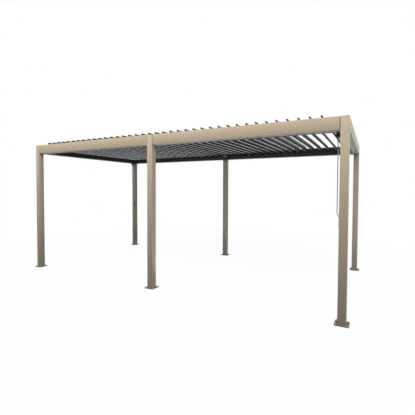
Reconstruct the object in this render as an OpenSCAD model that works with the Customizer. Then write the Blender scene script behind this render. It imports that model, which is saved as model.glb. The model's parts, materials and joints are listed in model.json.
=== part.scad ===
// Louvered pergola, seen from the front: +X to the right, +Y to the back, +Z up.
// Origin on the ground, in the middle of the frame. All sizes in millimetres.
// Six posts carry a ring of beams with a gutter inside it. Across the ring lie two groups of
// turning louvers, each tied together by a bar and turned by a hand crank through a gearbox.

/* [Frame] */
// Overall length of the frame, left to right
length = 5900; // [3000:10:6400]
// Overall depth of the frame, front to back
depth = 2950; // [2000:10:4000]
// Height of the frame, from the ground to the top of the beams
height = 2500; // [2100:10:3000]

/* [Posts] */
// Side of the square posts, which is the thickness of the beams too
post_w = 100; // [80:1:140]
// Side of the square base plate under each post
plate_w = 170; // [150:1:260]
// Thickness of the base plates
plate_t = 8; // [5:1:15]
// Diameter of the anchor holes in the base plates
anchor_hole_d = 12; // [8:1:16]
// Distance from an anchor hole to the nearest post face
anchor_offset = 17; // [14:1:22]

/* [Beams and gutters] */
// Height of the beams
beam_h = 165; // [140:1:240]
// Width of the gutter along the inner face of the beams
gutter_w = 70; // [50:1:110]
// Thickness of the gutter's floor and wall
gutter_t = 3; // [2:0.5:5]
// Room left under the lower edge of an upright louver, down to the gutter's rim
gutter_gap = 16; // [12:1:30]

/* [Louvers] */
// Distance between the pivots of neighbouring louvers
louver_pitch = 144; // [120:1:175]
// Depth of the pivots under the top of the beams
pivot_drop = 12; // [5:1:25]
// Thickness of a louver
louver_t = 22; // [18:1:26]
// Reach of the upper edge from the pivot
upper_reach = 84; // [76:1:90]
// Width of the hook along the lower edge, which reaches under the next louver
hook_w = 22; // [18:1:28]
// Depth of the hook below the blade
hook_h = 14; // [14:0.5:18]
// Thickness of the hook and of its rain lip
hook_t = 4; // [2:0.5:5]
// Height of the rain lip, from the hook's underside
lip_h = 8.5; // [6:0.5:8.5]
// Gap between the edges of neighbouring louvers when they lie flat
edge_gap = 7; // [7:0.5:10]
// Angle of the louvers from flat, as drawn
tilt = 52; // [0:1:90]
// Room between the louvers' ends and the beams
end_gap = 12; // [12:1:20]
// Number of grooves along the top face of a louver
grooves = 4; // [0:1:6]
// Width of each groove
groove_w = 4; // [2:0.5:6]
// Depth of each groove
groove_d = 1.5; // [0.5:0.5:3]

/* [Pivots and tie bars] */
// Radius of the pivot pins
pivot_r = 5; // [4:0.5:7]
// Depth of the pivot bores in the beams
pivot_depth = 12; // [8:1:20]
// Offset of the tie pin from the pivot, towards the upper edge and away from the blade alike
tie_offset = 18; // [18:1:24]
// Radius of the tie pins
tie_r = 3; // [2:0.5:4]
// Height of a tie bar
bar_h = 14; // [12:1:14]
// Thickness of a tie bar
bar_t = 4; // [3:0.5:5]
// Thickness of the arm that carries the tie pin
arm_t = 6; // [4:1:10]
// Clearance around each pin
pin_clearance = 0.1; // [0.05:0.05:0.1]

/* [Gearboxes and cranks] */
// Width of a gearbox housing, left to right
gearbox_w = 50; // [40:1:60]
// Depth of a gearbox housing, front to back
gearbox_d = 64; // [50:1:80]
// Height of a gearbox housing
gearbox_h = 48; // [40:1:60]
// Distance from the beam's inner face to the crank's axis, along the side beam
gearbox_inset = 150; // [130:1:300]
// Radius of the crank rod
rod_r = 6; // [4:0.5:8]
// Length of the straight crank rod, from its eye to the bend
rod_l = 900; // [500:10:1200]
// Sideways reach of the crank's arm
crank_reach = 75; // [50:1:100]
// Height of the crank's slanting arm
crank_drop = 85; // [50:1:120]
// Length of the crank's grip
grip_l = 130; // [90:1:160]
// Radius of the crank's grip
grip_r = 12; // [9:0.5:16]
// Angle at which the right crank's arm rests, from straight outwards towards the middle of the roof
right_arm_turn = 70; // [0:5:355]
// Angle at which the left crank's arm rests, counted the same way
left_arm_turn = 180; // [0:5:355]

/* [Hidden] */
// A cut runs this far past a face, so that it leaves no skin
past = 1;
// Play left between the end of a pin and the bottom of its bore
end_play = 2;
// Inner faces of the beams, from the middle
inner_x = length / 2 - post_w;
inner_y = depth / 2 - post_w;
beam_z = height - beam_h;
// Middle of a corner post, from the middle of the frame
post_x = length / 2 - post_w / 2;
post_y = depth / 2 - post_w / 2;
anchor_x = post_w / 2 + anchor_offset;

// The blade's thick part ends short of the next louver, and its hook reaches further
blade_reach = louver_pitch - upper_reach - edge_gap;
lower_reach = blade_reach + hook_w;
pivot_z = height - pivot_drop;
louver_l = 2 * (inner_y - end_gap);
gutter_h = beam_h - pivot_drop - lower_reach - gutter_gap;
bay_room = inner_x - gutter_w - upper_reach - edge_gap;
louvers_per_bay = floor(bay_room / louver_pitch + 0.5);
louver_count = 2 * louvers_per_bay;

// The tie bar lies between the louvers' arms and the beam
bar_gap = 2;
bar_end = 15;
// The tie pin shows this much past the bar
tie_pin_past = 1;
tie_pin_l = bar_gap + bar_t + tie_pin_past;
tie_eye_r = 9;
tie_arm_w = 14;
tie_rise = tie_offset * (sin(tilt) + cos(tilt));
tie_shift = tie_offset * (sin(tilt) - cos(tilt));

// Crank axis, and the heights down the crank
crank_x = inner_x - gutter_w + gearbox_w / 2;
crank_y = inner_y - gearbox_inset;
gearbox_z = beam_z - gearbox_h;
stub_r = 7;
stub_depth = 20;
eye_r = 16;
eye_hole_r = 9;
eye_t = 8;
eye_drop = 34;
eye_z = gearbox_z - eye_drop;
// The stub and the rod both run this far into the ring of the eye
eye_bite = 4;
// The elbows are a little thicker than the rod
elbow_r = rod_r + 1.5;
bend_z = eye_z - eye_r - rod_l;
grip_z = bend_z - crank_drop;

FRAME_NODES = [
    "post_front_left", "post_front_middle", "post_front_right",
    "post_back_left", "post_back_middle", "post_back_right", "base_plates",
    "beam_front_left", "beam_front_right", "beam_back_left", "beam_back_right",
    "beam_left", "beam_right", "gearbox_left", "gearbox_right"
];
MOVING_NODES = ["tie_bar_left", "tie_bar_right", "crank_left", "crank_right"];
LOUVER_NODES = [for (i = [1:louver_count]) louver_name(i)];

FRAME_COLOUR = "#b8a88a";
LOUVER_COLOUR = "#3a3d3c";
DARK_COLOUR = "#26282a";
CRANK_COLOUR = "#c9c9c6";

function louver_name(i) = str("louver_", i < 10 ? "0" : "", i);
function pivot_x(i) = (i - (louver_count + 1) / 2) * louver_pitch;

// ---- posts and base plates ----

module post(x, y) {
    color(FRAME_COLOUR)
        translate([x - post_w / 2, y - post_w / 2, plate_t])
            cube([post_w, post_w, height - plate_t]);
}

module base_plate(x, y) {
    translate([x, y, 0])
        difference() {
            translate([-plate_w / 2, -plate_w / 2, 0])
                cube([plate_w, plate_w, plate_t]);
            for (sx = [-1, 1], sy = [-1, 1])
                translate([sx * anchor_x, sy * anchor_x, -past])
                    cylinder(d = anchor_hole_d, h = plate_t + 2 * past, $fn = 32);
        }
}

module base_plates() {
    color(FRAME_COLOUR)
        for (x = [-post_x, 0, post_x], y = [-post_y, post_y])
            base_plate(x, y);
}

// ---- beams, each with its stretch of gutter ----

// The front beam's right half. The gutter runs on behind the middle post, and its wall stops
// at the side gutter, so that the corner stays open for the water.
module long_beam() {
    wall_y = -inner_y + gutter_w - gutter_t;
    difference() {
        union() {
            translate([post_w / 2, -depth / 2, beam_z])
                cube([inner_x - post_w / 2, post_w, beam_h]);
            translate([0, -inner_y, beam_z])
                cube([inner_x, gutter_w, gutter_t]);
            translate([0, wall_y, beam_z])
                cube([inner_x - gutter_w + gutter_t, gutter_t, gutter_h]);
        }
        for (i = [louvers_per_bay + 1:louver_count])
            translate([pivot_x(i), -inner_y - pivot_depth, pivot_z])
                rotate([-90, 0, 0])
                    cylinder(r = pivot_r + pin_clearance, h = pivot_depth + past, $fn = 32);
    }
}

// The right-hand side beam
module side_beam() {
    gutter_l = 2 * (inner_y - gutter_w);
    translate([inner_x, -inner_y, beam_z])
        cube([post_w, 2 * inner_y, beam_h]);
    translate([inner_x - gutter_w, -gutter_l / 2, beam_z])
        cube([gutter_w, gutter_l, gutter_t]);
    translate([inner_x - gutter_w, -gutter_l / 2, beam_z])
        cube([gutter_t, gutter_l, gutter_h]);
}

module beam_front_right() {
    color(FRAME_COLOUR) long_beam();
}

module beam_front_left() {
    color(FRAME_COLOUR) mirror([1, 0, 0]) long_beam();
}

module beam_back_right() {
    color(FRAME_COLOUR) mirror([0, 1, 0]) long_beam();
}

module beam_back_left() {
    color(FRAME_COLOUR) rotate([0, 0, 180]) long_beam();
}

module beam_right() {
    color(FRAME_COLOUR) side_beam();
}

module beam_left() {
    color(FRAME_COLOUR) mirror([1, 0, 0]) side_beam();
}

// ---- louvers ----

// Section of a louver lying flat, with its pivot at the origin and its upper edge to the left
module louver_section() {
    top = louver_t / 2;
    underside = -top - hook_h;
    groove_step = (upper_reach + blade_reach) / (grooves + 1);
    difference() {
        polygon([
            [-upper_reach, top], [-upper_reach, -top], [blade_reach - hook_t, -top],
            [blade_reach - hook_t, underside], [lower_reach, underside],
            [lower_reach, underside + lip_h], [lower_reach - hook_t, underside + lip_h],
            [lower_reach - hook_t, underside + hook_t], [blade_reach, underside + hook_t],
            [blade_reach, top]
        ]);
        if (grooves > 0)
            for (k = [1:grooves])
                translate([-upper_reach + k * groove_step - groove_w / 2, top - groove_d])
                    square([groove_w, groove_d + past]);
    }
}

// Arm from the pivot to the tie pin, with an eye at its end
module tie_arm_section() {
    arm_l = tie_offset * sqrt(2);
    rotate(135)
        translate([0, -tie_arm_w / 2])
            square([arm_l, tie_arm_w]);
    translate([-tie_offset, tie_offset])
        circle(r = tie_eye_r, $fn = 32);
}

// A louver lying flat. The tie arm is at the front end, or at the back end with side = 1.
module flat_louver(side) {
    end_y = louver_l / 2;
    pin_l = end_gap + pivot_depth - end_play;
    rotate([90, 0, 0])
        linear_extrude(height = louver_l, center = true)
            louver_section();
    for (s = [-1, 1])
        translate([0, s * (end_y + pin_l / 2 - past), 0])
            rotate([90, 0, 0])
                cylinder(r = pivot_r, h = pin_l + 2 * past, center = true, $fn = 32);
    translate([0, side * (end_y - arm_t / 2), 0])
        rotate([90, 0, 0])
            linear_extrude(height = arm_t, center = true)
                tie_arm_section();
    translate([-tie_offset, side * (end_y + tie_pin_l / 2 - past), tie_offset])
        rotate([90, 0, 0])
            cylinder(r = tie_r, h = tie_pin_l + 2 * past, center = true, $fn = 32);
}

// The left group is tied at the back, and the right group at the front
module louver(i) {
    side = i <= louvers_per_bay ? 1 : -1;
    color(LOUVER_COLOUR)
        translate([pivot_x(i), 0, pivot_z])
            rotate([0, tilt, 0])
                flat_louver(side);
}

// ---- tie bars ----

// The bar for louvers first to last, at the front, or at the back with side = 1
module tie_bar(first, last, side) {
    bar_x = pivot_x(first) + tie_shift - bar_end;
    bar_l = pivot_x(last) - pivot_x(first) + 2 * bar_end;
    near_y = louver_l / 2 + bar_gap;
    color(DARK_COLOUR)
        difference() {
            translate([bar_x, side > 0 ? near_y : -near_y - bar_t, pivot_z + tie_rise - bar_h / 2])
                cube([bar_l, bar_t, bar_h]);
            for (i = [first:last])
                translate([pivot_x(i) + tie_shift, side * (near_y + bar_t / 2), pivot_z + tie_rise])
                    rotate([90, 0, 0])
                        cylinder(r = tie_r + pin_clearance, h = bar_t + 2 * past, center = true, $fn = 32);
        }
}

module tie_bar_left() {
    tie_bar(1, louvers_per_bay, 1);
}

module tie_bar_right() {
    tie_bar(louvers_per_bay + 1, louver_count, -1);
}

// ---- gearboxes and cranks ----

// The right gearbox hangs under the side gutter, near the front right post
module gearbox() {
    difference() {
        translate([crank_x - gearbox_w / 2, -crank_y - gearbox_d / 2, gearbox_z])
            cube([gearbox_w, gearbox_d, gearbox_h]);
        translate([crank_x, -crank_y, gearbox_z - past])
            cylinder(r = stub_r + pin_clearance, h = stub_depth + past, $fn = 32);
    }
}

// Shaft stub and eye, the hooked rod, the slanting arm and the grip. The arm points to
// arm_turn, counted from the outer side towards the middle of the roof.
module crank(arm_turn) {
    slant = atan2(crank_reach, crank_drop);
    arm_l = sqrt(crank_reach * crank_reach + crank_drop * crank_drop);
    stub_top = gearbox_z + stub_depth - end_play;
    stub_bottom = eye_z + eye_r - eye_bite;
    rod_top = eye_z - eye_r + eye_bite;
    translate([crank_x, -crank_y, 0])
        rotate([0, 0, arm_turn]) {
            translate([0, 0, stub_bottom])
                cylinder(r = stub_r, h = stub_top - stub_bottom, $fn = 32);
            translate([0, 0, eye_z])
                rotate([90, 0, 0])
                    difference() {
                        cylinder(r = eye_r, h = eye_t, center = true, $fn = 48);
                        cylinder(r = eye_hole_r, h = eye_t + 2 * past, center = true, $fn = 32);
                    }
            translate([0, 0, bend_z])
                cylinder(r = rod_r, h = rod_top - bend_z, $fn = 32);
            translate([0, 0, bend_z])
                sphere(r = elbow_r, $fn = 32);
            translate([0, 0, bend_z])
                rotate([0, 180 - slant, 0])
                    cylinder(r = rod_r, h = arm_l, $fn = 32);
            translate([crank_reach, 0, grip_z])
                sphere(r = elbow_r, $fn = 32);
            translate([crank_reach, 0, grip_z - grip_l])
                cylinder(r = grip_r, h = grip_l, $fn = 32);
        }
}

module gearbox_right() {
    color(DARK_COLOUR) gearbox();
}

module gearbox_left() {
    color(DARK_COLOUR) rotate([0, 0, 180]) gearbox();
}

module crank_right() {
    color(CRANK_COLOUR) crank(right_arm_turn);
}

module crank_left() {
    color(CRANK_COLOUR) rotate([0, 0, 180]) crank(left_arm_turn);
}

post(-post_x, -post_y);  // post_front_left
post(0, -post_y);  // post_front_middle
post(post_x, -post_y);  // post_front_right
post(-post_x, post_y);  // post_back_left
post(0, post_y);  // post_back_middle
post(post_x, post_y);  // post_back_right
base_plates();
beam_front_left();
beam_front_right();
beam_back_left();
beam_back_right();
beam_left();
beam_right();
gearbox_left();
gearbox_right();
tie_bar_left();
tie_bar_right();
crank_left();
crank_right();
for (i = [1:louver_count])
    louver(i);
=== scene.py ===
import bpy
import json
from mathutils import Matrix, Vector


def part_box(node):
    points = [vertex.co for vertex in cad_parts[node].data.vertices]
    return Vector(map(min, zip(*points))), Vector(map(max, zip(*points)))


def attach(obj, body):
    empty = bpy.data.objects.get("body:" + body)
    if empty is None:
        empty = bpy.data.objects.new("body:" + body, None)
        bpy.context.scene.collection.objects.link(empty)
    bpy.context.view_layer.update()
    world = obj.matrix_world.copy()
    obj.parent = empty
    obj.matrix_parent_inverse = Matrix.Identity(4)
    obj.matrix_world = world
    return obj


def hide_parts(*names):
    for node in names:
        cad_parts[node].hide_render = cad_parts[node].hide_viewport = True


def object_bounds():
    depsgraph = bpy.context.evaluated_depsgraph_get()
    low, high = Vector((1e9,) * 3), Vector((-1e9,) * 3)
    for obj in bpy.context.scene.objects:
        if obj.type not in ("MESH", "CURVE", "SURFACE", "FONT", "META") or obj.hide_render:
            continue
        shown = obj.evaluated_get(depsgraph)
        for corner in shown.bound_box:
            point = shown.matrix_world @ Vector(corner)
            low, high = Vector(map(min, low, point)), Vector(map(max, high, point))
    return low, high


bl_info = {
    "name": "Louvered pergola",
    "version": (1, 0, 0),
    "blender": (4, 5, 0),
    "location": "View3D > Sidebar > Pergola",
    "description": "Finishes a louvered pergola around its packed frame",
    "category": "Add Mesh",
}

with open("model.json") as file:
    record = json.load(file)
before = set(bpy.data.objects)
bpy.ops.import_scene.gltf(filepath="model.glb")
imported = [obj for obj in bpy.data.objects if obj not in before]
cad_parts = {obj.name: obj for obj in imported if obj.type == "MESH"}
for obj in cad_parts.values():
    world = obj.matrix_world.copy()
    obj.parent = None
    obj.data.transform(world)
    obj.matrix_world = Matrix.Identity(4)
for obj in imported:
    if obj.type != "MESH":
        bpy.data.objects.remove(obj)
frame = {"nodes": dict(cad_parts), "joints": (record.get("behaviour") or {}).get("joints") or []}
cad_low, cad_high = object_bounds()

import json
import math

import bmesh
import bpy
from bpy.props import FloatProperty, FloatVectorProperty, IntProperty, PointerProperty
from bpy.types import Operator, Panel, PropertyGroup
from mathutils import Matrix, Vector

X, Y, Z = Vector((1, 0, 0)), Vector((0, 1, 0)), Vector((0, 0, 1))
JOINTS = {joint["name"]: joint for joint in frame["joints"]}
LOUVERS = sorted(name for name in frame["nodes"] if name.startswith("louver_"))
POSTS = [
    f"post_{row}_{place}"
    for row in ("front", "back")
    for place in ("left", "middle", "right")
]


# ---- sizes, finishes and stage ----

class PergolaSizes(PropertyGroup):
    """Sizes of the fine detail, and those that the frame's boxes don't give by themselves."""
    edge_radius: FloatProperty(
        name="Edge radius", description="Rounding of the posts' and beams' edges",
        default=0.003, min=0.0005, max=0.01, unit="LENGTH")
    cap_t: FloatProperty(
        name="Post cap", description="Thickness of the cap that closes a post",
        default=0.0035, min=0.001, max=0.01, unit="LENGTH")
    seam_w: FloatProperty(
        name="Seam", description="Shadow gap between a post and the end of a beam",
        default=0.007, min=0.001, max=0.01, unit="LENGTH")
    gutter_h: FloatProperty(
        name="Gutter height", description="Height of the gutter's wall",
        default=0.062, min=0.03, max=0.1, unit="LENGTH")
    gutter_t: FloatProperty(
        name="Gutter thickness", description="Thickness of the gutter's floor and wall",
        default=0.003, min=0.001, max=0.006, unit="LENGTH")
    louver_t: FloatProperty(
        name="Louver thickness", description="Thickness of a louver's middle",
        default=0.022, min=0.01, max=0.04, unit="LENGTH")
    louver_up: FloatProperty(
        name="Upper reach", description="From a louver's pivot to its upper edge",
        default=0.084, min=0.05, max=0.12, unit="LENGTH")
    blade_down: FloatProperty(
        name="Blade reach", description="From a louver's pivot to the lower end of its blade",
        default=0.053, min=0.03, max=0.1, unit="LENGTH")
    hook_down: FloatProperty(
        name="Hook reach", description="From a louver's pivot to the edge of its hook",
        default=0.075, min=0.05, max=0.12, unit="LENGTH")
    hook_h: FloatProperty(
        name="Hook depth", description="Depth of the hook below the blade",
        default=0.014, min=0.008, max=0.02, unit="LENGTH")
    hook_t: FloatProperty(
        name="Hook thickness", description="Thickness of the hook and of its rain lip",
        default=0.004, min=0.002, max=0.006, unit="LENGTH")
    lip_h: FloatProperty(
        name="Lip height", description="Height of the rain lip, from the hook's underside",
        default=0.0085, min=0.004, max=0.02, unit="LENGTH")
    end_gap: FloatProperty(
        name="End gap", description="Room between a louver's end and the beam",
        default=0.012, min=0.005, max=0.03, unit="LENGTH")
    humps: IntProperty(
        name="Humps", description="Shallow rounded humps across a louver's top face",
        default=2, min=1, max=4)
    hump_h: FloatProperty(
        name="Hump height", description="Height of each hump above the valleys beside it",
        default=0.004, min=0.0005, max=0.006, unit="LENGTH")
    pin_r: FloatProperty(
        name="Pivot pin", description="Radius of a louver's pivot pins",
        default=0.005, min=0.002, max=0.01, unit="LENGTH")
    tie_pin_r: FloatProperty(
        name="Tie pin", description="Radius of the pins in the tie bars",
        default=0.003, min=0.001, max=0.006, unit="LENGTH")
    tie_offset: FloatProperty(
        name="Tie offset", description="Offset of a tie pin from the pivot, across and up alike",
        default=0.018, min=0.01, max=0.03, unit="LENGTH")
    anchor_reach: FloatProperty(
        name="Anchor reach", description="From a base plate's middle to its anchors, both ways",
        default=0.067, min=0.05, max=0.1, unit="LENGTH")
    rod_r: FloatProperty(
        name="Crank rod", description="Radius of the crank's rod",
        default=0.006, min=0.003, max=0.01, unit="LENGTH")
    arm_reach: FloatProperty(
        name="Arm reach", description="Sideways reach of the crank's arm",
        default=0.075, min=0.04, max=0.12, unit="LENGTH")
    arm_drop: FloatProperty(
        name="Arm drop", description="Height of the crank's slanting arm",
        default=0.085, min=0.04, max=0.12, unit="LENGTH")
    grip_l: FloatProperty(
        name="Grip length", description="Length of the crank's grip",
        default=0.130, min=0.08, max=0.2, unit="LENGTH")
    grip_r: FloatProperty(
        name="Grip radius", description="Radius of the crank's grip",
        default=0.012, min=0.008, max=0.02, unit="LENGTH")
    eye_drop: FloatProperty(
        name="Eye drop", description="From the gearbox down to the middle of the eye",
        default=0.034, min=0.02, max=0.06, unit="LENGTH")
    eye_r: FloatProperty(
        name="Eye radius", description="Radius of the eye, at the middle of its wire",
        default=0.0125, min=0.008, max=0.02, unit="LENGTH")
    arm_turn_right: FloatProperty(
        name="Right arm", description="Way that the right crank's arm points at rest, from +X",
        default=math.radians(70), subtype="ANGLE")
    arm_turn_left: FloatProperty(
        name="Left arm", description="Way that the left crank's arm points at rest, from +X",
        default=0.0, subtype="ANGLE")


class PergolaFinishes(PropertyGroup):
    """Colours of the pergola's finishes."""
    coat: FloatVectorProperty(
        name="Frame coat", description="Powder coat of the posts and beams",
        default=(0.465, 0.385, 0.275), size=3, min=0, max=1, subtype="COLOR")
    louver: FloatVectorProperty(
        name="Louver coat", description="Powder coat of the louvers",
        default=(0.022, 0.023, 0.023), size=3, min=0, max=1, subtype="COLOR")
    plate: FloatVectorProperty(
        name="Base plates", description="Coat of the base plates",
        default=(0.16, 0.152, 0.135), size=3, min=0, max=1, subtype="COLOR")
    trim: FloatVectorProperty(
        name="Trim", description="Moulded end caps, bushes, seam blocks and gearboxes",
        default=(0.022, 0.022, 0.023), size=3, min=0, max=1, subtype="COLOR")
    # the edge strip's pale colour is a painted highlight: it stands for the shine along each
    # louver's dark lower lip
    strip: FloatVectorProperty(
        name="Edge strip", description="Pale strip along the lower edge of each louver",
        default=(0.85, 0.85, 0.84), size=3, min=0, max=1, subtype="COLOR")
    steel: FloatVectorProperty(
        name="Steel", description="Pins, screws and anchors",
        default=(0.36, 0.36, 0.355), size=3, min=0, max=1, subtype="COLOR")
    rod: FloatVectorProperty(
        name="Crank rod", description="Anodised rod of the cranks",
        default=(0.26, 0.26, 0.255), size=3, min=0, max=1, subtype="COLOR")
    grip: FloatVectorProperty(
        name="Grip", description="Moulded grip of the cranks",
        default=(0.10, 0.10, 0.10), size=3, min=0, max=1, subtype="COLOR")


class PergolaStage(PropertyGroup):
    """Camera, lamps and floor."""
    lens: FloatProperty(
        name="Lens", description="Focal length of the camera, on a 36 mm sensor",
        default=26.595, min=10, max=200, unit="CAMERA")
    eye: FloatVectorProperty(
        name="Camera place", description="Place of the camera",
        default=(3.2003, -5.4047, 1.6365), size=3, subtype="TRANSLATION")
    turn: FloatProperty(
        name="Camera turn", description="Turn of the camera to the left of straight back",
        default=0.4812, subtype="ANGLE")
    dip: FloatProperty(
        name="Camera dip", description="How far the camera looks down",
        default=0.0307, subtype="ANGLE")
    lean: FloatProperty(
        name="Camera lean", description="Lean of the camera to the left",
        default=0.0046, subtype="ANGLE")
    shift_x: FloatProperty(
        name="Shift X", description="Sideways shift of the picture", default=-0.0118)
    shift_y: FloatProperty(
        name="Shift Y", description="Upward shift of the picture", default=-0.0232)
    ambient: FloatProperty(
        name="Ambient", description="Strength of the light from all round", default=0.12, min=0)
    key_power: FloatProperty(
        name="Key", description="Power of the long soft lamp above the front",
        default=450, min=0, unit="POWER")
    fill_power: FloatProperty(
        name="Fill", description="Power of each soft lamp at the ends and the back",
        default=70, min=0, unit="POWER")
    low_power: FloatProperty(
        name="Low fill", description="Power of the low lamp at the right",
        default=85, min=0, unit="POWER")
    bounce_power: FloatProperty(
        name="Floor bounce", description="Power of the lamp that stands for light off the floor",
        default=40, min=0, unit="POWER")
    shadow: FloatProperty(
        name="Floor shadow", description="Share of the floor's look that takes shadows",
        default=0.05, min=0, max=1)


# ---- materials ----

class Field:
    """An output socket of a material's nodes. An expression on fields adds its Math nodes."""

    def __init__(self, nodes, socket):
        self.nodes, self.socket = nodes, socket

    def math(self, operation, a, b):
        return self.nodes.add("ShaderNodeMath", {"operation": operation}, {0: a, 1: b})

    def __add__(self, other):
        return self.math("ADD", self, other)

    def __sub__(self, other):
        return self.math("SUBTRACT", self, other)

    def __rsub__(self, other):
        return self.math("SUBTRACT", other, self)

    def __mul__(self, other):
        return self.math("MULTIPLY", self, other)

    __radd__ = __add__
    __rmul__ = __mul__


class Nodes:
    """The nodes of one material or of the world."""

    def __init__(self, owner):
        owner.use_nodes = True
        self.tree = owner.node_tree
        self.tree.nodes.clear()

    def add(self, kind, settings=None, inputs=None, output=0):
        """Adds a node: first its settings, with a ramp's stops among them, then its sockets."""
        node = self.tree.nodes.new(kind)
        for name, value in (settings or {}).items():
            if name == "stops":
                while len(node.color_ramp.elements) < len(value):
                    node.color_ramp.elements.new(1.0)
                for element, (place, level) in zip(node.color_ramp.elements, value):
                    element.position = place
                    element.color = (level, level, level, 1.0)
            else:
                setattr(node, name, value)
        for name, value in (inputs or {}).items():
            if isinstance(value, Field):
                self.tree.links.new(value.socket, node.inputs[name])
            else:
                node.inputs[name].default_value = value
        return Field(self, node.outputs[output]) if node.outputs else None

    def blend(self, amount, a, b):
        """A colour between a and b."""
        return self.add(
            "ShaderNodeMix", {"data_type": "RGBA"}, {"Factor": amount, 6: a, 7: b}, output=2)

    def noise(self, vector, scale, detail=2.0, roughness=0.5):
        return self.add(
            "ShaderNodeTexNoise", {},
            {"Vector": vector, "Scale": scale, "Detail": detail, "Roughness": roughness})

    def own_place(self):
        return self.add("ShaderNodeTexCoord", output="Object")

    def streaks(self, vector, along, slow, fast):
        """Noise in fine lines along one axis: its scale is slow there and fast across it."""
        scale = tuple(slow if lies_along else fast for lies_along in along)
        drawn_out = self.add("ShaderNodeMapping", {}, {"Vector": vector, "Scale": scale})
        return self.noise(drawn_out, 1.0)

    def bump(self, height, distance, strength=1.0, under=None):
        inputs = {"Height": height, "Distance": distance, "Strength": strength}
        if under is not None:
            inputs["Normal"] = under
        return self.add("ShaderNodeBump", {}, inputs)

    def surface(self, shader):
        self.add("ShaderNodeOutputMaterial", {}, {"Surface": shader})


def shade(colour, factor):
    """The colour made lighter or darker, as a socket takes it."""
    return (*(min(1.0, level * factor) for level in colour), 1.0)


def finish(name, build):
    """The material of that name, made by build(nodes) the first time."""
    material = bpy.data.materials.get(name)
    if material is None:
        material = bpy.data.materials.new(name)
        build(Nodes(material))
    return material


# noise scales, and for lines the scale along them and across
COAT_CLOUD, COAT_FINE, COAT_PEEL = 2.3, 160.0, 900.0
COAT_LINES = (1.2, 420.0)
MOULD_CLOUD, MOULD_GRAIN = 9.0, 700.0
METAL_PATCH = 24.0
METAL_LINES = (4.0, 900.0)
# heights of the finest relief, in metres
DRAW_DEPTH = 0.00002
PEEL_DEPTH = 0.00008
GRAIN_DEPTH = 0.00015
LINE_DEPTH = 0.00004


def powder_coat(nodes, colour, along, gloss=0.42, mottle=0.06, sheen=0.22):
    """Powder coat over an extrusion: fine orange peel, faint draw lines along it, soft mottling."""
    place = nodes.own_place()
    cloud = nodes.noise(place, COAT_CLOUD, detail=3.0)
    fine = nodes.noise(place, COAT_FINE)
    peel = nodes.noise(place, COAT_PEEL, detail=1.0)
    draw = nodes.streaks(place, along, *COAT_LINES)
    tone = 0.62 * cloud + 0.22 * fine + 0.16 * draw
    base = nodes.blend(tone, shade(colour, 1 - mottle), shade(colour, 1 + mottle))
    rough = gloss - 0.06 + 0.12 * cloud + 0.05 * peel
    normal = nodes.bump(peel, PEEL_DEPTH, under=nodes.bump(draw, DRAW_DEPTH))
    shader = nodes.add("ShaderNodeBsdfPrincipled", {}, {
        "Base Color": base, "Roughness": rough, "Normal": normal,
        "Specular IOR Level": sheen, "IOR": 1.48})
    nodes.surface(shader)


def moulded(nodes, colour, gloss=0.5):
    """Moulded plastic with a fine spark-eroded grain."""
    place = nodes.own_place()
    grain = nodes.noise(place, MOULD_GRAIN, detail=3.0)
    cloud = nodes.noise(place, MOULD_CLOUD)
    base = nodes.blend(0.5 * grain + 0.5 * cloud, shade(colour, 0.82), shade(colour, 1.2))
    shader = nodes.add("ShaderNodeBsdfPrincipled", {}, {
        "Base Color": base, "Roughness": gloss - 0.07 + 0.14 * cloud,
        "Specular IOR Level": 0.25, "Normal": nodes.bump(grain, GRAIN_DEPTH)})
    nodes.surface(shader)


def bright_metal(nodes, colour, along, gloss=0.3, metal=1.0, sheen=0.5):
    """Drawn or turned metal, with fine lines along it and a few duller patches."""
    place = nodes.own_place()
    lines = nodes.streaks(place, along, *METAL_LINES)
    patch = nodes.noise(place, METAL_PATCH, detail=3.0)
    base = nodes.blend(0.5 * lines + 0.5 * patch, shade(colour, 0.86), shade(colour, 1.1))
    shader = nodes.add("ShaderNodeBsdfPrincipled", {}, {
        "Base Color": base, "Metallic": metal, "Specular IOR Level": sheen,
        "Roughness": gloss - 0.06 + 0.12 * patch + 0.06 * lines,
        "Normal": nodes.bump(lines, LINE_DEPTH)})
    nodes.surface(shader)


def own_colour(name):
    return tuple(getattr(bpy.context.scene.pergola_finishes, name))


def lines_along(axis):
    return tuple(letter == axis for letter in "XYZ")


def coat_along(axis):
    """The frame's coat, with its draw lines along X, Y or Z."""
    return finish(f"frame coat {axis}", lambda nodes: powder_coat(
        nodes, own_colour("coat"), lines_along(axis)))


def gutter_coat_and_painted_shade(axis):
    """The gutters' coat, which is the louvers' colour. On the beams' inward faces the same dark
    coat is painted shade.
    """
    return finish(f"gutter coat and painted shade {axis}", lambda nodes: powder_coat(
        nodes, own_colour("louver"), lines_along(axis), gloss=0.5, mottle=0.10))


def louver_coat():
    return finish("louver coat", lambda nodes: powder_coat(
        nodes, own_colour("louver"), lines_along("Y"), mottle=0.10, sheen=0.06))


def plate_coat():
    return finish("plate coat", lambda nodes: powder_coat(
        nodes, own_colour("plate"), lines_along("X"), gloss=0.5, mottle=0.12))


def trim_plastic():
    return finish("trim plastic", lambda nodes: moulded(nodes, own_colour("trim")))


def grip_plastic():
    return finish("grip plastic", lambda nodes: moulded(nodes, own_colour("grip"), gloss=0.55))


# painted highlight: a pale, nearly mirror-like finish on the lip strip, standing for the shine of
# the dark coat there
def painted_highlight_strip():
    return finish("painted highlight strip", lambda nodes: bright_metal(
        nodes, own_colour("strip"), lines_along("Y"), gloss=0.22, metal=0.9, sheen=1.0))


def fixing_steel():
    return finish("fixing steel", lambda nodes: bright_metal(
        nodes, own_colour("steel"), lines_along("Z")))


def crank_metal():
    return finish("anodised rod", lambda nodes: bright_metal(
        nodes, own_colour("rod"), lines_along("Z"), gloss=0.4, metal=0.2))


# ---- shapes ----

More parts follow.
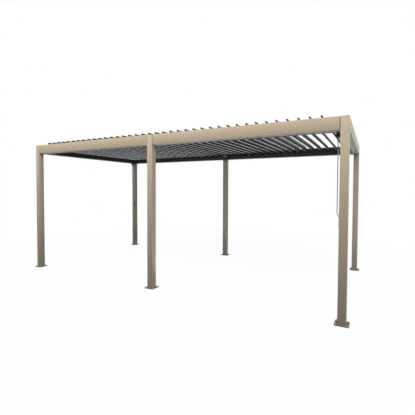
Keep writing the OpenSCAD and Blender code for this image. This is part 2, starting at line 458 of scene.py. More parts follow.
def parts_of(verts):
    """The faces and edges that hang on these vertices, each once and in the same order each run."""
    faces = dict.fromkeys(face for vert in verts for face in vert.link_faces)
    edges = dict.fromkeys(edge for vert in verts for edge in vert.link_edges)
    return list(faces), list(edges)


def made_since(before, items):
    """Those of a bmesh's vertices or faces that weren't there before."""
    return [item for item in items if item not in before]


def round_off(bm, edges, radius, segments=2):
    bmesh.ops.bevel(
        bm, geom=edges, offset=radius, offset_type="OFFSET", segments=segments,
        profile=0.5, affect="EDGES", material=-1)


def slab(bm, low, high, radius=0.0, slot=0, inward=None, inward_slot=0):
    """A block between its lowest and highest corners, with rounded edges. The face that looks
    inward may have a material of its own."""
    low, high = Vector(low), Vector(high)
    place = Matrix.Translation((low + high) / 2) @ Matrix.Diagonal((*(high - low), 1.0))
    verts = bmesh.ops.create_cube(bm, size=1.0, matrix=place)["verts"]
    faces, edges = parts_of(verts)
    for face in faces:
        face.normal_update()
        facing = inward is not None and face.normal.dot(inward) > 0.9
        face.material_index = inward_slot if facing else slot
    if radius > 0:
        round_off(bm, edges, radius)


def bar(bm, start, end, radius, slot=0, sides=24, chamfer=0.0):
    """A round bar between two points, or a hexagon with six sides."""
    start, end = Vector(start), Vector(end)
    turn = (end - start).to_track_quat("Z", "Y").to_matrix().to_4x4()
    verts = bmesh.ops.create_cone(
        bm, cap_ends=True, cap_tris=False, segments=sides, radius1=radius, radius2=radius,
        depth=(end - start).length, matrix=Matrix.Translation((start + end) / 2) @ turn)["verts"]
    faces, edges = parts_of(verts)
    for face in faces:
        face.material_index = slot
    if chamfer > 0:
        caps = [face for face in faces if len(face.verts) == sides]
        rims = dict.fromkeys(edge for face in caps for edge in face.edges)
        round_off(bm, list(rims), chamfer, segments=1)


def drawn(bm, outline, start, length, slot=0, rounded=0.0, sharp=()):
    """An outline of (x, z) points at y = start, drawn out along Y, with its long edges rounded
    except those that start at one of the sharp points."""
    verts = [bm.verts.new((x, start, z)) for x, z in outline]
    face = bm.faces.new(verts)
    made = bmesh.ops.extrude_face_region(bm, geom=[face])["geom"]
    moved = [item for item in made if isinstance(item, bmesh.types.BMVert)]
    bmesh.ops.translate(bm, verts=moved, vec=length * Y)
    faces, edges = parts_of(verts + moved)
    for face in faces:
        face.material_index = slot
    bmesh.ops.recalc_face_normals(bm, faces=faces)
    if rounded > 0:
        keep = {bm_vert for bm_vert, point in zip(verts, outline) if point in sharp}
        long_edges = [
            edge for edge in edges
            if abs((edge.verts[0].co - edge.verts[1].co).y) > length / 2
            and not keep & set(edge.verts)
        ]
        round_off(bm, long_edges, rounded)


def ring(bm, centre, axis, radius, wire, slot=0, sides=12, steps=32):
    """A round ring of round wire."""
    side = axis.orthogonal().normalized()
    across = axis.cross(side).normalized()
    turn = across.to_track_quat("Z", "Y").to_matrix().to_4x4()
    place = Matrix.Translation(centre + radius * side) @ turn
    verts = bmesh.ops.create_circle(
        bm, cap_ends=False, radius=wire, segments=sides, matrix=place)["verts"]
    _, edges = parts_of(verts)
    before = set(bm.faces)
    bmesh.ops.spin(
        bm, geom=verts + edges, cent=centre, axis=axis, angle=2 * math.pi, steps=steps,
        use_merge=True, use_duplicate=False)
    for face in made_since(before, bm.faces):
        face.material_index = slot


def turned(bm, centre, outline, slot=0, steps=32):
    """A shape turned about an upright axis, from (radius, height) points. A first or last
    point on the axis closes it there."""
    verts = [bm.verts.new(centre + Vector((r, 0, h))) for r, h in outline]
    edges = [bm.edges.new(pair) for pair in zip(verts, verts[1:])]
    before = set(bm.faces)
    bmesh.ops.spin(
        bm, geom=verts + edges, cent=centre, axis=Z, angle=2 * math.pi, steps=steps,
        use_merge=True, use_duplicate=False)
    for face in made_since(before, bm.faces):
        face.material_index = slot


class Rod:
    """A round rod that grows from its first end by straight lengths and bends."""

    def __init__(self, bm, start, along, radius, slot=0, sides=16):
        self.bm, self.slot = bm, slot
        self.at, self.along = Vector(start), Vector(along).normalized()
        turn = self.along.to_track_quat("Z", "Y").to_matrix().to_4x4()
        verts = bmesh.ops.create_circle(
            bm, cap_ends=False, radius=radius, segments=sides,
            matrix=Matrix.Translation(self.at) @ turn)["verts"]
        _, self.ring = parts_of(verts)
        self.close()

    def close(self):
        for face in bmesh.ops.edgeloop_fill(self.bm, edges=self.ring)["faces"]:
            face.material_index = self.slot

    def paint(self, before):
        for face in made_since(before, self.bm.faces):
            face.material_index = self.slot

    def straight(self, length):
        before = set(self.bm.faces)
        made = bmesh.ops.extrude_edge_only(self.bm, edges=self.ring)["geom"]
        verts = [item for item in made if isinstance(item, bmesh.types.BMVert)]
        bmesh.ops.translate(self.bm, verts=verts, vec=length * self.along)
        ends = set(verts)
        self.ring = [
            item for item in made
            if isinstance(item, bmesh.types.BMEdge) and set(item.verts) <= ends
        ]
        self.at = self.at + length * self.along
        self.paint(before)

    def bend(self, towards, radius, angle, steps=8):
        """Turns by angle towards that direction, about a centre at that radius."""
        side = (towards - towards.dot(self.along) * self.along).normalized()
        centre = self.at + radius * side
        axis = self.along.cross(side)
        before = set(self.bm.faces)
        made = bmesh.ops.spin(
            self.bm, geom=self.ring, cent=centre, axis=axis, angle=angle, steps=steps,
            use_merge=False, use_duplicate=False)["geom_last"]
        self.ring = [item for item in made if isinstance(item, bmesh.types.BMEdge)]
        turn = Matrix.Rotation(angle, 3, axis)
        self.at = centre + turn @ (self.at - centre)
        self.along = turn @ self.along
        self.paint(before)


SMOOTH_BELOW = math.radians(25)


def to_mesh(bm, name, materials, merge=1e-6):
    """The finished mesh: doubles merged, faces outwards, round faces smooth."""
    bmesh.ops.remove_doubles(bm, verts=bm.verts, dist=merge)
    bmesh.ops.recalc_face_normals(bm, faces=bm.faces)
    mesh = bpy.data.meshes.new(name)
    bm.to_mesh(mesh)
    bm.free()
    for material in materials:
        mesh.materials.append(material)
    mesh.polygons.foreach_set("use_smooth", [True] * len(mesh.polygons))
    mesh.set_sharp_from_angle(angle=SMOOTH_BELOW)
    return mesh


def add_piece(mesh, body, slot, *nodes):
    """Puts a finished mesh on its body, in place of the nodes that it stands for."""
    piece = bpy.data.objects.new(mesh.name, mesh)
    bpy.context.scene.collection.objects.link(piece)
    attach(piece, body)
    if nodes:
        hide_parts(*nodes)
    return piece


def coat_node(node, material):
    """Gives a node that keeps its own shape its material."""
    mesh_object = frame["nodes"][node]
    mesh_object.data.materials.clear()
    mesh_object.data.materials.append(material)


# ---- posts ----

def build_post(node, sizes):
    low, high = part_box(node)
    bm = bmesh.new()
    joint = high.z - sizes.cap_t
    slab(bm, low, (high.x, high.y, joint), sizes.edge_radius)
    slab(bm, (low.x, low.y, joint), high, sizes.cap_t / 3)
    mesh = to_mesh(bm, node.replace("post", "upright"), [coat_along("Z")])
    add_piece(mesh, "frame", "frame_paint", node)


class PERGOLA_OT_posts(Operator):
    """Adds the six posts, each a rounded extrusion with a cap"""
    bl_idname = "pergola.posts"
    bl_label = "Posts"

    def execute(self, context):
        for node in POSTS:
            build_post(node, context.scene.pergola_sizes)
        return {"FINISHED"}


# ---- base plates and anchors ----

def post_centres():
    centres = []
    for node in POSTS:
        low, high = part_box(node)
        middle = (low + high) / 2
        centres.append(Vector((middle.x, middle.y, 0.0)))
    return centres


PLATE_CORNER = 0.012
PLATE_EDGE = 0.0012
WELD = 0.005
TINY = 0.00001
WASHER_R, WASHER_T, WASHER_EDGE = 0.0110, 0.0022, 0.0005
NUT_R, NUT_TOP = 0.0095, 0.0105
STUD_R, STUD_TOP = 0.0050, 0.0165
THREAD_EDGE = 0.0010


def build_base_plates():
    low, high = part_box("base_plates")
    post_low, post_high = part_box(POSTS[-1])
    half_post = (post_high.x - post_low.x) / 2
    half = high.x - (post_high.x + post_low.x) / 2
    bm = bmesh.new()
    for centre in post_centres():
        before = set(bm.verts)
        slab(bm, centre - half * (X + Y), centre + half * (X + Y) + high.z * Z)
        verts = made_since(before, bm.verts)
        _, edges = parts_of(verts)
        upright = [edge for edge in edges if abs(edge.verts[0].co.z - edge.verts[1].co.z) > TINY]
        round_off(bm, upright, PLATE_CORNER, segments=4)
        top = [vert for vert in made_since(before, bm.verts) if vert.co.z > high.z - TINY]
        rims = [
            edge for edge in parts_of(top)[1]
            if all(vert in top for vert in edge.verts)
        ]
        round_off(bm, rims, PLATE_EDGE, segments=1)
        skirt = half_post + WELD
        slab(bm, centre - skirt * (X + Y) + (high.z - WELD) * Z,
             centre + skirt * (X + Y) + (high.z + WELD) * Z, WELD * 0.9)
    mesh = to_mesh(bm, "foot_plates", [plate_coat()])
    add_piece(mesh, "frame", "base_plate", "base_plates")


def build_anchors(sizes):
    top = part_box("base_plates")[1].z
    reach = sizes.anchor_reach
    bm = bmesh.new()
    for centre in post_centres():
        for side_x in (-1, 1):
            for side_y in (-1, 1):
                foot = centre + reach * (side_x * X + side_y * Y) + top * Z
                bar(bm, foot, foot + WASHER_T * Z, WASHER_R, chamfer=WASHER_EDGE)
                bar(bm, foot + WASHER_T * Z, foot + NUT_TOP * Z, NUT_R, sides=6,
                    chamfer=THREAD_EDGE)
                bar(bm, foot, foot + STUD_TOP * Z, STUD_R, sides=16, chamfer=THREAD_EDGE)
    mesh = to_mesh(bm, "anchor_bolts", [fixing_steel()])
    add_piece(mesh, "frame", "base_plate")


class PERGOLA_OT_feet(Operator):
    """Adds the base plates with their weld beads, and the anchor bolts"""
    bl_idname = "pergola.feet"
    bl_label = "Base plates and anchors"

    def execute(self, context):
        build_base_plates()
        build_anchors(context.scene.pergola_sizes)
        return {"FINISHED"}


# ---- beams, gutters and seams ----

def beam_width():
    low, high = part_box(POSTS[0])
    return high.x - low.x


BEAD_EDGE = 0.0004
SEAM_INSET = 0.006
SEAM_REACH = 0.012
BUSH_R, BUSH_T, BUSH_EDGE = 0.0095, 0.0030, 0.0008


def build_long_beam(node, sizes):
    """A front or back beam between its two posts, with its stretch of gutter."""
    low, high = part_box(node)
    half_post = beam_width() / 2
    front = low.y < 0
    left = low.x < 0
    # the gutter runs past the rail, behind the middle post
    rail_low = low.x if left else low.x + half_post
    rail_high = high.x - half_post if left else high.x
    outer = low.y if front else high.y
    inner = outer + (beam_width() if front else -beam_width())
    edge = high.y if front else low.y
    bm = bmesh.new()
    # the beam's inward face takes the dark gutter coat: painted shade where the roof shades it
    slab(bm, (rail_low + sizes.seam_w, min(outer, inner), low.z),
         (rail_high - sizes.seam_w, max(outer, inner), high.z), sizes.edge_radius,
         inward=Y if front else -Y, inward_slot=1)
    wall = edge - sizes.gutter_t if front else edge + sizes.gutter_t
    gutter_lip = low.z + sizes.gutter_h
    slab(bm, (low.x, min(inner, edge), low.z), (high.x, max(inner, edge), low.z + sizes.gutter_t),
         sizes.gutter_t / 4, slot=1)
    corner = abs(edge - inner) - sizes.gutter_t
    wall_low = low.x + corner if left else low.x
    wall_high = high.x if left else high.x - corner
    slab(bm, (wall_low, min(wall, edge), low.z), (wall_high, max(wall, edge), gutter_lip),
         sizes.gutter_t / 4, slot=1)
    bead_y = (wall + edge) / 2
    bead_z = gutter_lip - sizes.gutter_t
    bar(bm, (wall_low, bead_y, bead_z), (wall_high, bead_y, bead_z), sizes.gutter_t,
        slot=1, sides=16, chamfer=BEAD_EDGE)
    mesh = to_mesh(bm, node.replace("beam", "rail"), [coat_along("X"), gutter_coat_and_painted_shade("X")])
    add_piece(mesh, "frame", "frame_paint", node)


def build_side_beam(node, sizes):
    """An end beam with its gutter."""
    low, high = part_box(node)
    left = low.x < 0
    outer = low.x if left else high.x
    inner = outer + (beam_width() if left else -beam_width())
    edge = high.x if left else low.x
    bm = bmesh.new()
    # the beam's inward face takes the dark gutter coat: painted shade where the roof shades it
    slab(bm, (min(outer, inner), low.y + sizes.seam_w, low.z),
         (max(outer, inner), high.y - sizes.seam_w, high.z), sizes.edge_radius,
         inward=X if left else -X, inward_slot=1)
    wall = edge - sizes.gutter_t if left else edge + sizes.gutter_t
    gutter_lip = low.z + sizes.gutter_h
    reach = high.y - abs(edge - inner)
    slab(bm, (min(inner, edge), -reach, low.z), (max(inner, edge), reach, low.z + sizes.gutter_t),
         sizes.gutter_t / 4, slot=1)
    slab(bm, (min(wall, edge), -reach, low.z), (max(wall, edge), reach, gutter_lip),
         sizes.gutter_t / 4, slot=1)
    bead_x = (wall + edge) / 2
    bead_z = gutter_lip - sizes.gutter_t
    bar(bm, (bead_x, -reach, bead_z), (bead_x, reach, bead_z), sizes.gutter_t,
        slot=1, sides=16, chamfer=BEAD_EDGE)
    mesh = to_mesh(bm, node.replace("beam", "rail"), [coat_along("Y"), gutter_coat_and_painted_shade("Y")])
    add_piece(mesh, "frame", "frame_paint", node)


def build_seam_blocks():
    """Dark blocks that bridge the shadow gaps between posts and beams."""
    bm = bmesh.new()
    beam_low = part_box("beam_left")[0].z
    for node in POSTS:
        low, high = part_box(node)
        base, top = beam_low + SEAM_INSET, high.z - SEAM_INSET
        for face_x in (low.x, high.x):
            if abs(face_x) < cad_high.x - beam_width():
                slab(bm, (face_x - SEAM_REACH, low.y + SEAM_INSET, base),
                     (face_x + SEAM_REACH, high.y - SEAM_INSET, top))
        if "middle" not in node:
            face_y = high.y if low.y < 0 else low.y
            slab(bm, (low.x + SEAM_INSET, face_y - SEAM_REACH, base),
                 (high.x - SEAM_INSET, face_y + SEAM_REACH, top))
    mesh = to_mesh(bm, "seam_blocks", [trim_plastic()])
    add_piece(mesh, "frame", "frame_paint")


def build_bushes():
    """A flanged bush round each pivot pin, on the inner faces of the beams."""
    inner_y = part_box("beam_left")[1].y
    bm = bmesh.new()
    for name in LOUVERS:
        pivot = Vector(JOINTS[f"{name}_turn"]["pos_m"])
        for side in (-1, 1):
            seat = Vector((pivot.x, side * inner_y, pivot.z))
            bar(bm, seat, seat - side * BUSH_T * Y, BUSH_R, sides=20, chamfer=BUSH_EDGE)
    mesh = to_mesh(bm, "pivot_bushes", [trim_plastic()])
    add_piece(mesh, "frame", "frame_paint")


class PERGOLA_OT_beams(Operator):
    """Adds the beams with their gutters, the blocks in their seams and the pivot bushes"""
    bl_idname = "pergola.beams"
    bl_label = "Beams and gutters"

    def execute(self, context):
        sizes = context.scene.pergola_sizes
        for row in ("front", "back"):
            for place in ("left", "right"):
                build_long_beam(f"beam_{row}_{place}", sizes)
        for place in ("left", "right"):
            build_side_beam(f"beam_{place}", sizes)
        build_seam_blocks()
        build_bushes()
        return {"FINISHED"}


# ---- louvers ----

LOUVER_EDGE = 0.0011
HUMP_STEPS = 8
END_CAP_T = 0.003
STRIP_T = 0.0012
STRIP_INSET = 0.0008
STRIP_FROM = 0.3  # where the strip starts, as a share of the lip's height
PIN_ROOT, PIN_PAST, PIN_EDGE = 0.001, 0.010, 0.0006
COLLAR_R, COLLAR_T = 0.0085, 0.0025
CAP_SCREWS_AT = (-0.045, 0.040)
SCREW_R, SCREW_EDGE = 0.0036, 0.0007
CAP_SCREW_T = 0.0016
ARM_T, ARM_W, ARM_EDGE = 0.006, 0.014, 0.0008
ARM_EYE_R = 0.009
ARM_TURN = math.radians(-135)
CLIP_R, CLIP_T, CLIP_EDGE = 0.0052, 0.0012, 0.0003
TIE_PIN_EDGE = 0.0004
BAR_NEAR, BAR_T = 0.002, 0.004


def louver_outline(sizes):
    """Section of a flat louver about its pivot, and the points along its humps."""
    top = sizes.louver_t / 2
    thin = sizes.hook_t
    under = -top - sizes.hook_h
    outline = [
        (-sizes.louver_up, -top),
        (sizes.blade_down - thin, -top), (sizes.blade_down - thin, under),
        (sizes.hook_down, under), (sizes.hook_down, under + sizes.lip_h),
        (sizes.hook_down - thin, under + sizes.lip_h), (sizes.hook_down - thin, under + thin),
        (sizes.blade_down, under + thin),
    ]
    width = (sizes.louver_up + sizes.blade_down) / sizes.humps
    humps = []
    for k in range(sizes.humps * HUMP_STEPS + 1):
        across = 2 * (k % HUMP_STEPS) / HUMP_STEPS - 1
        humps.append((sizes.blade_down - k * width / HUMP_STEPS, top - sizes.hump_h * across ** 2))
    return outline + humps, humps[1:-1]


def flat_louver(sizes, side, name):
    """A louver lying flat with its pivot at the origin, its tie arm at the back with side = 1."""
    bm = bmesh.new()
    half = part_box("beam_left")[1].y - sizes.end_gap
    body = half - END_CAP_T
    outline, humps = louver_outline(sizes)
    drawn(bm, outline, -body, 2 * body, rounded=LOUVER_EDGE, sharp=humps)
    for end in (-half, body):
        drawn(bm, outline, end, END_CAP_T, slot=1, rounded=LOUVER_EDGE, sharp=humps)
    under = -sizes.louver_t / 2 - sizes.hook_h
    # pale strip on the hook's lip: a painted highlight for the shine of the lip's face
    slab(bm, (sizes.hook_down - STRIP_T, -body, under + STRIP_FROM * sizes.lip_h),
         (sizes.hook_down + STRIP_T, body, under + sizes.lip_h - STRIP_INSET), STRIP_T / 3, slot=3)
    for end in (-1, 1):
        bar(bm, (0, end * (half - PIN_ROOT), 0), (0, end * (half + sizes.end_gap + PIN_PAST), 0),
            sizes.pin_r, slot=2, chamfer=PIN_EDGE)
        bar(bm, (0, end * half, 0), (0, end * (half + COLLAR_T), 0), COLLAR_R,
            slot=1, chamfer=PIN_EDGE)
        for x in CAP_SCREWS_AT:
            bar(bm, (x, end * half, 0), (x, end * (half + CAP_SCREW_T), 0), SCREW_R,
                slot=2, sides=16, chamfer=SCREW_EDGE)
    build_tie_arm(bm, sizes, side, half)
    return to_mesh(bm, name, [louver_coat(), trim_plastic(), fixing_steel(), painted_highlight_strip()])


def build_tie_arm(bm, sizes, side, half):
    """The arm at one end of a louver, with the pin that runs in the tie bar."""
    eye = Vector((-sizes.tie_offset, 0, sizes.tie_offset))
    face, back = side * half, side * (half - ARM_T)
    before = set(bm.verts)
    slab(bm, (0, min(face, back), -ARM_W / 2), (eye.length, max(face, back), ARM_W / 2),
         ARM_EDGE)
    arm = made_since(before, bm.verts)
    bmesh.ops.rotate(bm, verts=arm, cent=(0, 0, 0), matrix=Matrix.Rotation(ARM_TURN, 3, "Y"))
    bar(bm, eye + face * Y, eye + back * Y, ARM_EYE_R, chamfer=ARM_EDGE)
    tip = BAR_NEAR + BAR_T
    bar(bm, eye + face * Y, eye + (face + side * (tip + CLIP_T)) * Y, sizes.tie_pin_r,
        slot=2, sides=16, chamfer=TIE_PIN_EDGE)
    bar(bm, eye + (face + side * tip) * Y, eye + (face + side * (tip + CLIP_T)) * Y, CLIP_R,
        slot=2, sides=16, chamfer=CLIP_EDGE)


class PERGOLA_OT_louvers(Operator):
    """Adds the louvers with their end caps, pins and tie arms"""
    bl_idname = "pergola.louvers"
    bl_label = "Louvers"

    def execute(self, context):
        sizes = context.scene.pergola_sizes
        flat = {side: flat_louver(sizes, side, f"flat_louver_{side}") for side in (-1, 1)}
        for name in LOUVERS:
            joint = JOINTS[f"{name}_turn"]
            pivot = Vector(joint["pos_m"])
            tilt = -math.radians(joint["range_deg"][0])
            mesh = flat[1 if pivot.x < 0 else -1].copy()
            mesh.name = name.replace("louver", "blade")
            mesh.transform(Matrix.Translation(pivot) @ Matrix.Rotation(tilt, 4, "Y"))
            add_piece(mesh, name, "louver_paint", name)
        for mesh in flat.values():
            bpy.data.meshes.remove(mesh)
        return {"FINISHED"}


class PERGOLA_OT_tie_bars(Operator):
    """Gives the tie bars their coat"""
    bl_idname = "pergola.tie_bars"
    bl_label = "Tie bars"

    def execute(self, context):
        for place in ("left", "right"):
            coat_node(f"tie_bar_{place}", louver_coat())
        return {"FINISHED"}


# ---- gearboxes and cranks ----

FLANGE_T, FLANGE_EDGE = 0.005, 0.0012
BOSS_R, BOSS_H, BOSS_INTO, BOSS_EDGE = 0.0145, 0.007, 0.004, 0.0015
HOUSING_INSET_X, HOUSING_INSET_Y, HOUSING_EDGE = 0.003, 0.009, 0.005
RIB_PITCH, RIB_T, RIB_EDGE = 0.012, 0.003, 0.0006
RIB_INSET = 0.0012
RIB_RISE = 0.006
SINK = 0.001  # how far one moulded piece runs into the next
HOUSING_SCREW_X, HOUSING_SCREW_Y, HOUSING_SCREW_T = 0.017, 0.0270, 0.0035


def build_gearbox(place):
    """A moulded housing under the side gutter: flange, body with ribs, boss and screws."""
    node = f"gearbox_{place}"
    low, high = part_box(node)
    centre = (low + high) / 2
    seat = high.z - FLANGE_T
    bm = bmesh.new()
    slab(bm, (low.x, low.y, seat), high, FLANGE_EDGE)
    inset = HOUSING_INSET_X * X + HOUSING_INSET_Y * Y
    slab(bm, Vector((low.x, low.y, low.z + BOSS_H)) + inset,
         Vector((high.x, high.y, seat + SINK)) - inset, HOUSING_EDGE)
    bar(bm, (centre.x, centre.y, low.z), (centre.x, centre.y, low.z + BOSS_H + BOSS_INTO),
        BOSS_R, sides=32, chamfer=BOSS_EDGE)
    for k in (-1, 0, 1):
        rib_y = centre.y + k * RIB_PITCH
        slab(bm, (low.x + RIB_INSET, rib_y - RIB_T / 2, low.z + BOSS_H + RIB_RISE),
             (high.x - RIB_INSET, rib_y + RIB_T / 2, seat + SINK), RIB_EDGE)
    for side_x in (-1, 1):
        for side_y in (-1, 1):
            head = Vector((centre.x + side_x * HOUSING_SCREW_X,
                           centre.y + side_y * HOUSING_SCREW_Y, seat))
            bar(bm, head, head - HOUSING_SCREW_T * Z, SCREW_R, slot=1, sides=16,
                chamfer=SCREW_EDGE)
    mesh = to_mesh(bm, f"drive_housing_{place}", [trim_plastic(), fixing_steel()])
    add_piece(mesh, "frame", "gearbox", node)


GRIP_RINGS = 9
RING_HALF, RING_FLOOR_HALF = 0.0026, 0.0012
FIRST_RING, LAST_RING = 0.014, 0.020  # from the grip's lower and upper end
WIRE_R = 0.0036
HOOK_SHARE = 0.75  # the hook's thickness against the rod's
HOOK_TIP, HOOK_SHANK = 0.010, 0.014
SWERVE_R = 0.012
STUB_R, STUB_INTO = 0.0068, 0.016
STUB_COLLAR_R, STUB_COLLAR_DROP, STUB_COLLAR_GAP = 0.0095, 0.0060, 0.0005
SLEEVE_PAST, SLEEVE_INTO = 0.003, 0.004
ELBOW_R = 0.022
CORE_SHARE = 0.6  # how far the rod runs into the grip


def grip_outline(sizes):
    """Half section of the grip from its lower end up, with shallow rings along it."""
    length, radius = sizes.grip_l, sizes.grip_r
    outline = [(0, 0), (radius * 0.75, 0), (radius * 0.94, 0.0015), (radius, 0.004)]
    pitch = (length - FIRST_RING - LAST_RING) / (GRIP_RINGS - 1)
    for k in range(GRIP_RINGS):
        height = FIRST_RING + k * pitch
        outline += [
            (radius, height - RING_HALF), (radius * 0.91, height - RING_FLOOR_HALF),
            (radius * 0.91, height + RING_FLOOR_HALF), (radius, height + RING_HALF)]
    outline += [(radius, length - 0.006), (radius * 0.9, length - 0.002),
                (radius * 0.7, length), (0, length)]
    return outline


def build_crank(place, arm_turn, sizes):
    """Shaft stub and eye, the hooked rod with its two bends, and the grip."""
    node = f"crank_{place}"
    axis = Vector(JOINTS[f"{node}_turn"]["pos_m"])
    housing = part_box(f"gearbox_{place}")[0].z
    eye_z = housing - sizes.eye_drop
    grip_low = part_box(node)[0].z
    grip_top = grip_low + sizes.grip_l
    bend_z = grip_top + sizes.arm_drop
    bm = bmesh.new()
    # the stub comes out of the housing and carries the eye
    bar(bm, (0, 0, eye_z + sizes.eye_r), (0, 0, housing + STUB_INTO), STUB_R)
    bar(bm, (0, 0, housing - STUB_COLLAR_DROP), (0, 0, housing - STUB_COLLAR_GAP),
        STUB_COLLAR_R, chamfer=THREAD_EDGE)
    ring(bm, Vector((0, 0, eye_z)), Y, sizes.eye_r, WIRE_R)
    # the hook goes over the eye's lower wire
    hook_z = eye_z - sizes.eye_r
    hook_wire = sizes.rod_r * HOOK_SHARE
    hook_r = WIRE_R + hook_wire
    rod = Rod(bm, (0, -hook_r, hook_z - HOOK_TIP), Z, hook_wire)
    rod.straight(HOOK_TIP)
    rod.bend(Y, hook_r, math.pi, steps=14)
    rod.straight(HOOK_SHANK)
    swerve = math.acos(1 - hook_r / (2 * SWERVE_R))
    rod.bend(-Y, SWERVE_R, swerve, steps=6)
    rod.bend(-Z, SWERVE_R, swerve, steps=6)
    rod.straight(SLEEVE_INTO)
    rod.close()
    # the straight rod, the slanting arm and the grip's core
    slant = math.atan2(sizes.arm_reach, sizes.arm_drop)
    elbow = ELBOW_R * math.tan(slant / 2)
    arm_l = math.hypot(sizes.arm_reach, sizes.arm_drop)
    sleeve_top = rod.at.z + SLEEVE_PAST
    rod = Rod(bm, (0, 0, sleeve_top), -Z, sizes.rod_r)
    rod.straight(sleeve_top - bend_z - elbow)
    rod.bend(X, ELBOW_R, slant)
    rod.straight(arm_l - 2 * elbow)
    rod.bend(-Z, ELBOW_R, slant)
    rod.straight(sizes.grip_l * CORE_SHARE)
    rod.close()
    turned(bm, Vector((sizes.arm_reach, 0, grip_low)), grip_outline(sizes), slot=1)
    turn = Matrix.Rotation(arm_turn, 4, "Z")
    bmesh.ops.transform(
        bm, verts=bm.verts, matrix=Matrix.Translation((axis.x, axis.y, 0)) @ turn)
    mesh = to_mesh(bm, f"hand_crank_{place}", [crank_metal(), grip_plastic()])
    add_piece(mesh, node, "crank", node)


class PERGOLA_OT_cranks(Operator):
    """Adds the gearboxes and the hand cranks"""
    bl_idname = "pergola.cranks"
    bl_label = "Gearboxes and cranks"

    def execute(self, context):
        sizes = context.scene.pergola_sizes
        turns = {"left": sizes.arm_turn_left, "right": sizes.arm_turn_right}
        for place, arm_turn in turns.items():
            build_gearbox(place)
            build_crank(place, arm_turn, sizes)
        return {"FINISHED"}


# ---- stage ----

def seen_directly(nodes):
    """1 for what the camera, a reflection or glass sees, 0 for the light on surfaces."""
    camera = nodes.add("ShaderNodeLightPath", output="Is Camera Ray")
    glossy = nodes.add("ShaderNodeLightPath", output="Is Glossy Ray")
    through = nodes.add("ShaderNodeLightPath", output="Is Transmission Ray")
    return nodes.add(
        "ShaderNodeClamp", {}, {"Value": camera + glossy + through, "Min": 0.0, "Max": 1.0})


FLOOR_REACH = 12
FLOOR_DROP = 0.001
WHITE = (1.0, 1.0, 1.0, 1.0)
SKY_TINT = (0.80, 1.0, 1.28, 1.0)
FLOOR_GREY = (0.08, 0.085, 0.10, 1.0)
FLOOR_PALE = (0.90, 0.90, 0.90, 1.0)
SHADOW_FULL, SHADOW_GONE = 2.5, 7.0  # distances from the middle


def build_world(stage):
    world = bpy.data.worlds.new("studio")
    bpy.context.scene.world = world
    nodes = Nodes(world)
    direct = seen_directly(nodes)
    light = nodes.add(
        "ShaderNodeBackground", {}, {"Color": SKY_TINT, "Strength": stage.ambient})
    white = nodes.add("ShaderNodeBackground", {}, {"Color": WHITE, "Strength": 1.0})
    nodes.add("ShaderNodeOutputWorld", {}, {
        "Surface": nodes.add("ShaderNodeMixShader", {}, {0: direct, 1: light, 2: white})})


def floor_finish(stage):
    def build(nodes):
        # surfaces are lit by the grey; the camera sees white with a thin pale coat for shadows
        grey = nodes.add("ShaderNodeBsdfDiffuse", {}, {"Color": FLOOR_GREY})
        pale = nodes.add("ShaderNodeBsdfDiffuse", {}, {"Color": FLOOR_PALE})
        white = nodes.add("ShaderNodeEmission", {}, {"Color": WHITE, "Strength": 1.0})
        distance = nodes.add(
            "ShaderNodeVectorMath", {"operation": "LENGTH"}, {0: nodes.own_place()}, output=1)
        share = nodes.add("ShaderNodeMapRange", {"interpolation_type": "SMOOTHSTEP"}, {
            "Value": distance, "From Min": SHADOW_FULL, "From Max": SHADOW_GONE,
            "To Min": stage.shadow, "To Max": 0.0})
        seen = nodes.add("ShaderNodeMixShader", {}, {0: share, 1: white, 2: pale})
        nodes.surface(nodes.add(
            "ShaderNodeMixShader", {}, {0: seen_directly(nodes), 1: grey, 2: seen}))
    return finish("pale floor", build)


def build_floor(stage):
    bm = bmesh.new()
    reach = FLOOR_REACH * (cad_high - cad_low).length
    bmesh.ops.create_grid(
        bm, x_segments=1, y_segments=1, size=reach, matrix=Matrix.Translation(-FLOOR_DROP * Z))
    mesh = to_mesh(bm, "floor", [floor_finish(stage)])
    floor = bpy.data.objects.new("floor", mesh)
    bpy.context.scene.collection.objects.link(floor)


def add_lamp(name, place, target, width, depth, power, colour=(1.0, 1.0, 1.0)):
    lamp = bpy.data.lights.new(name, "AREA")
    lamp.shape = "RECTANGLE"
    lamp.size, lamp.size_y = width, depth
    lamp.energy = power
    lamp.color = colour
    holder = bpy.data.objects.new(name, lamp)
    holder.location = place
    holder.rotation_euler = (Vector(target) - Vector(place)).to_track_quat("-Z", "Y").to_euler()
    holder.visible_camera = False
    bpy.context.scene.collection.objects.link(holder)


WARM = (1.0, 0.97, 0.93)
COOL = (0.84, 1.0, 1.20)
LAMP_DEPTH, LOW_LAMP_DEPTH = 1.2, 0.6


def build_lamps(stage):
    size = cad_high - cad_low
    roof = cad_high.z
    front, back = cad_low.y, cad_high.y
    add_lamp("key", (0, front - 1.1 * roof, 2.0 * roof), (0, front, 0.85 * roof),
             2.2 * size.x, LAMP_DEPTH, stage.key_power, WARM)
    add_lamp("back fill", (0, back + 1.2 * roof, 1.9 * roof), (0, back, 0.8 * roof),
             2.0 * size.x, LAMP_DEPTH, stage.fill_power)
    add_lamp("low fill", (cad_high.x + 1.5 * roof, 0, 0.25 * roof),
             (cad_high.x, 0, 0.5 * roof), 1.6 * size.y, LOW_LAMP_DEPTH, stage.low_power, COOL)
    add_lamp("floor bounce", (0.12 * size.x, -0.1 * size.y, 0.01 * roof), (0.12 * size.x, 0, roof),
             0.7 * size.x, 0.5 * size.y, stage.bounce_power, COOL)
    for name, side in (("left fill", -1), ("right fill", 1)):
        add_lamp(name, (side * (cad_high.x + 1.2 * roof), 0, 1.7 * roof),
                 (side * cad_high.x, 0, 0.7 * roof), 2.0 * size.y, LAMP_DEPTH,
                 stage.fill_power, COOL)


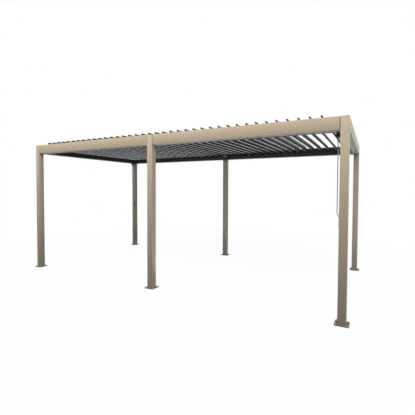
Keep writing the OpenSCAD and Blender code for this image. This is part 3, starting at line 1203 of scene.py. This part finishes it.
def build_camera(stage):
    camera = bpy.data.cameras.new("camera")
    camera.lens = stage.lens
    camera.shift_x, camera.shift_y = stage.shift_x, stage.shift_y
    holder = bpy.data.objects.new("camera", camera)
    holder.matrix_world = (
        Matrix.Translation(stage.eye) @ Matrix.Rotation(stage.turn, 4, "Z")
        @ Matrix.Rotation(math.pi / 2 - stage.dip, 4, "X") @ Matrix.Rotation(stage.lean, 4, "Z"))
    bpy.context.scene.collection.objects.link(holder)
    bpy.context.scene.camera = holder


class PERGOLA_OT_stage(Operator):
    """Adds the pale floor, the soft lamps, the world and the camera"""
    bl_idname = "pergola.stage"
    bl_label = "Stage"

    def execute(self, context):
        stage = context.scene.pergola_stage
        context.scene.view_settings.view_transform = "Standard"
        build_world(stage)
        build_floor(stage)
        build_lamps(stage)
        build_camera(stage)
        return {"FINISHED"}


# ---- panel and start ----

STEPS = (
    PERGOLA_OT_posts, PERGOLA_OT_feet, PERGOLA_OT_beams, PERGOLA_OT_louvers,
    PERGOLA_OT_tie_bars, PERGOLA_OT_cranks, PERGOLA_OT_stage,
)


class PERGOLA_PT_panel(Panel):
    """Lists the pieces of the pergola in the sidebar"""
    bl_idname = "PERGOLA_PT_panel"
    bl_label = "Louvered pergola"
    bl_space_type = "VIEW_3D"
    bl_region_type = "UI"
    bl_category = "Pergola"

    def draw(self, context):
        for step in STEPS:
            self.layout.operator(step.bl_idname)
        for group in ("pergola_sizes", "pergola_finishes", "pergola_stage"):
            settings = getattr(context.scene, group)
            box = self.layout.box()
            for name in settings.__annotations__:
                box.prop(settings, name)


GROUPS = {
    "pergola_sizes": PergolaSizes,
    "pergola_finishes": PergolaFinishes,
    "pergola_stage": PergolaStage,
}


def register():
    for group in (*GROUPS.values(), *STEPS, PERGOLA_PT_panel):
        bpy.utils.register_class(group)
    for name, group in GROUPS.items():
        setattr(bpy.types.Scene, name, PointerProperty(type=group))


def unregister():
    for name in GROUPS:
        delattr(bpy.types.Scene, name)
    for group in (PERGOLA_PT_panel, *reversed(STEPS), *GROUPS.values()):
        bpy.utils.unregister_class(group)


def main():
    register()
    bpy.ops.pergola.posts()
    bpy.ops.pergola.feet()
    bpy.ops.pergola.beams()
    bpy.ops.pergola.louvers()
    bpy.ops.pergola.tie_bars()
    bpy.ops.pergola.cranks()
    bpy.ops.pergola.stage()


if __name__ == "__main__":
    main()
